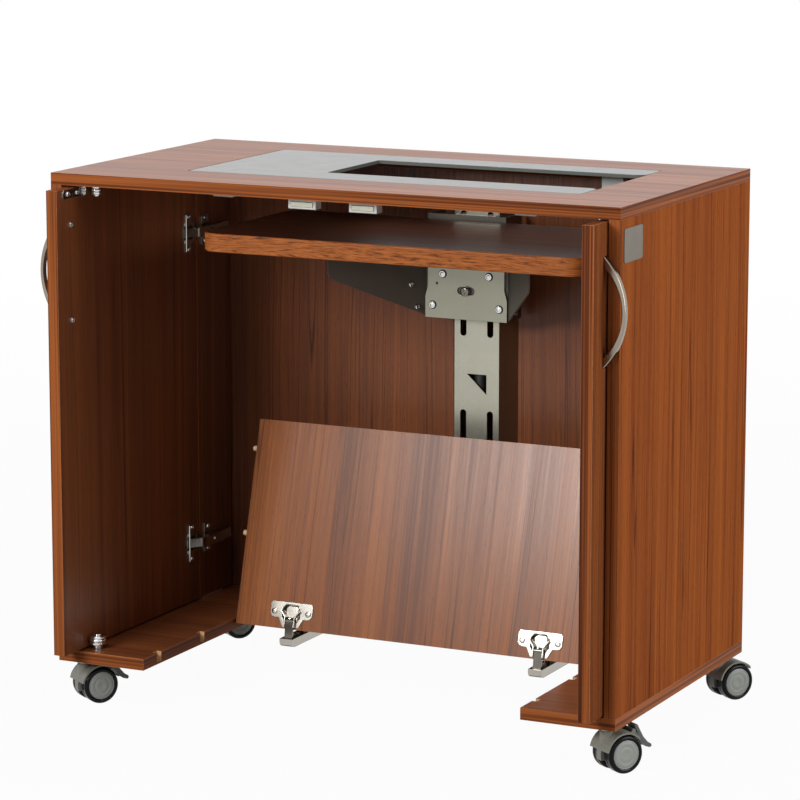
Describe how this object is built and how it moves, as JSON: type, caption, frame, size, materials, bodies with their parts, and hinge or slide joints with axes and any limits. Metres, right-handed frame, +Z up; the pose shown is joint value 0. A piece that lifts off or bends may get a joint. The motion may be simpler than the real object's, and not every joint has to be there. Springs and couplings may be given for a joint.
{
  "type": "sewing table",
  "caption": "Wooden sewing cabinet on castors with slide-back doors, a drop-in worktop plate over a lifting machine shelf and a folding floor panel.",
  "frame": {"origin": "centre of the bounding box in X and Y, on the floor", "axes": "+X to the right seen from the front, +Y from the front to the back, +Z up"},
  "size_m": [0.8496, 0.512, 0.73],
  "materials": {
    "board_wood": "satin",
    "shelf_wood": "satin",
    "dowel_wood": "matt",
    "insert_acrylic": "gloss",
    "white_plastic": "satin",
    "grey_plastic": "satin",
    "nylon": "satin",
    "black_rubber": "matt",
    "nickel": "satin",
    "galvanised": "satin",
    "dark_steel": "satin",
    "column_steel": "satin",
    "bright_steel": "polished"
  },
  "bodies": {
    "cabinet": {"worktop": "board_wood", "left_side_panel": "board_wood", "right_side_panel": "board_wood", "back_panel": "board_wood", "left_base_strip": "board_wood", "right_base_strip": "board_wood", "rear_floor_board": "board_wood", "carcass_dowels": "dowel_wood", "insert_clips": "white_plastic", "catch_bodies": "white_plastic", "catch_magnets": "dark_steel", "badge_plate": "galvanised", "roller_posts": "bright_steel", "lift_column": "column_steel", "column_screws": "bright_steel", "strut_tube": "dark_steel", "floor_hinge_arms": "nickel", "castor_stems": "galvanised"},
    "insert": {"insert_plate": "insert_acrylic"},
    "left_door_unit": {"left_door": "board_wood", "left_door_follower": "board_wood", "left_follower_glides": "nylon", "left_door_handle": "nickel", "left_door_strike": "bright_steel", "left_door_hinges": "nickel"},
    "right_door_unit": {"right_door": "board_wood", "right_door_follower": "board_wood", "right_follower_glides": "nylon", "right_door_handle": "nickel", "right_door_strike": "bright_steel", "right_door_hinges": "nickel"},
    "left_bottom_roller": {"left_bottom_roller": "nylon"},
    "right_bottom_roller": {"right_bottom_roller": "nylon"},
    "left_top_roller": {"left_top_roller": "nylon"},
    "right_top_roller": {"right_top_roller": "nylon"},
    "lift": {"lift_shelf": "shelf_wood", "lift_front_plate": "galvanised", "lift_carriage": "dark_steel", "lift_pads": "nylon", "lift_wings": "dark_steel", "lift_bolts": "bright_steel", "shelf_screws": "bright_steel", "strut_rod": "bright_steel"},
    "floor_links": {"floor_hinge_links": "dark_steel"},
    "floor_panel_unit": {"floor_panel": "board_wood", "floor_panel_dowels": "dowel_wood", "floor_hinge_cups": "nickel"},
    "front_left_castor": {"front_left_castor_hood": "grey_plastic"},
    "front_left_wheels": {"front_left_castor_wheels": "black_rubber"},
    "front_right_castor": {"front_right_castor_hood": "grey_plastic"},
    "front_right_wheels": {"front_right_castor_wheels": "black_rubber"},
    "rear_left_castor": {"rear_left_castor_hood": "grey_plastic"},
    "rear_left_wheels": {"rear_left_castor_wheels": "black_rubber"},
    "rear_right_castor": {"rear_right_castor_hood": "grey_plastic"},
    "rear_right_wheels": {"rear_right_castor_wheels": "black_rubber"},
    "front_left_brake": {"front_left_brake_lever": "grey_plastic"},
    "front_right_brake": {"front_right_brake_lever": "grey_plastic"}
  },
  "joints": [
    {"name": "insert_lift_out", "type": "slide", "parent": "cabinet", "child": "insert", "axis": [0, 0, 1], "range_m": [0, 0.04]},
    {"name": "left_door_slide", "type": "slide", "parent": "cabinet", "child": "left_door_unit", "axis": [0, -1, 0], "range_m": [0, 0.31]},
    {"name": "right_door_slide", "type": "slide", "parent": "cabinet", "child": "right_door_unit", "axis": [0, -1, 0], "range_m": [0, 0.31]},
    {"name": "left_bottom_roller_spin", "type": "hinge", "parent": "cabinet", "child": "left_bottom_roller", "pos_m": [-0.36705, -0.18856, 0.09], "axis": [0, 0, 1], "continuous": true},
    {"name": "right_bottom_roller_spin", "type": "hinge", "parent": "cabinet", "child": "right_bottom_roller", "pos_m": [0.36115, -0.18856, 0.09], "axis": [0, 0, 1], "continuous": true},
    {"name": "left_top_roller_spin", "type": "hinge", "parent": "cabinet", "child": "left_top_roller", "pos_m": [-0.37055, -0.16856, 0.704], "axis": [0, 0, 1], "continuous": true},
    {"name": "right_top_roller_spin", "type": "hinge", "parent": "cabinet", "child": "right_top_roller", "pos_m": [0.36465, -0.16856, 0.704], "axis": [0, 0, 1], "continuous": true},
    {"name": "lift_slide", "type": "slide", "parent": "cabinet", "child": "lift", "axis": [0, 0, -1], "range_m": [0, 0.145]},
    {"name": "floor_link_hinge", "type": "hinge", "parent": "cabinet", "child": "floor_links", "pos_m": [-0.00295, 0.03794, 0.0575], "axis": [-1, 0, 0], "range_deg": [0, 81.76]},
    {"name": "floor_panel_hinge", "type": "hinge", "parent": "floor_links", "child": "floor_panel_unit", "pos_m": [-0.00295, 0.04125, 0.08383], "axis": [1, 0, 0], "range_deg": [0, 187.06]},
    {"name": "front_left_swivel", "type": "hinge", "parent": "cabinet", "child": "front_left_castor", "pos_m": [-0.38995, -0.18856, 0.05], "axis": [0, 0, 1], "continuous": true},
    {"name": "front_left_wheel_spin", "type": "hinge", "parent": "front_left_castor", "child": "front_left_wheels", "pos_m": [-0.38044, -0.17447, 0.025], "axis": [-0.829, 0.5592, 0], "continuous": true},
    {"name": "front_right_swivel", "type": "hinge", "parent": "cabinet", "child": "front_right_castor", "pos_m": [0.38405, -0.18856, 0.05], "axis": [0, 0, 1], "continuous": true},
    {"name": "front_right_wheel_spin", "type": "hinge", "parent": "front_right_castor", "child": "front_right_wheels", "pos_m": [0.39356, -0.17447, 0.025], "axis": [-0.829, 0.5592, 0], "continuous": true},
    {"name": "rear_left_swivel", "type": "hinge", "parent": "cabinet", "child": "rear_left_castor", "pos_m": [-0.38995, 0.20944, 0.05], "axis": [0, 0, 1], "continuous": true},
    {"name": "rear_left_wheel_spin", "type": "hinge", "parent": "rear_left_castor", "child": "rear_left_wheels", "pos_m": [-0.38044, 0.22353, 0.025], "axis": [-0.829, 0.5592, 0], "continuous": true},
    {"name": "rear_right_swivel", "type": "hinge", "parent": "cabinet", "child": "rear_right_castor", "pos_m": [0.38405, 0.20944, 0.05], "axis": [0, 0, 1], "continuous": true},
    {"name": "rear_right_wheel_spin", "type": "hinge", "parent": "rear_right_castor", "child": "rear_right_wheels", "pos_m": [0.39356, 0.22353, 0.025], "axis": [-0.829, 0.5592, 0], "continuous": true},
    {"name": "front_left_brake_lever_hinge", "type": "hinge", "parent": "front_left_castor", "child": "front_left_brake", "pos_m": [-0.37096, -0.16041, 0.05214], "axis": [-0.829, 0.5592, 0], "range_deg": [0, 8]},
    {"name": "front_right_brake_lever_hinge", "type": "hinge", "parent": "front_right_castor", "child": "front_right_brake", "pos_m": [0.40304, -0.16041, 0.05214], "axis": [-0.829, 0.5592, 0], "range_deg": [0, 8]}
  ],
  "couplings": [
    {"joint": "floor_link_hinge", "follows": "floor_panel_hinge", "ratio": 0.43707}
  ]
}
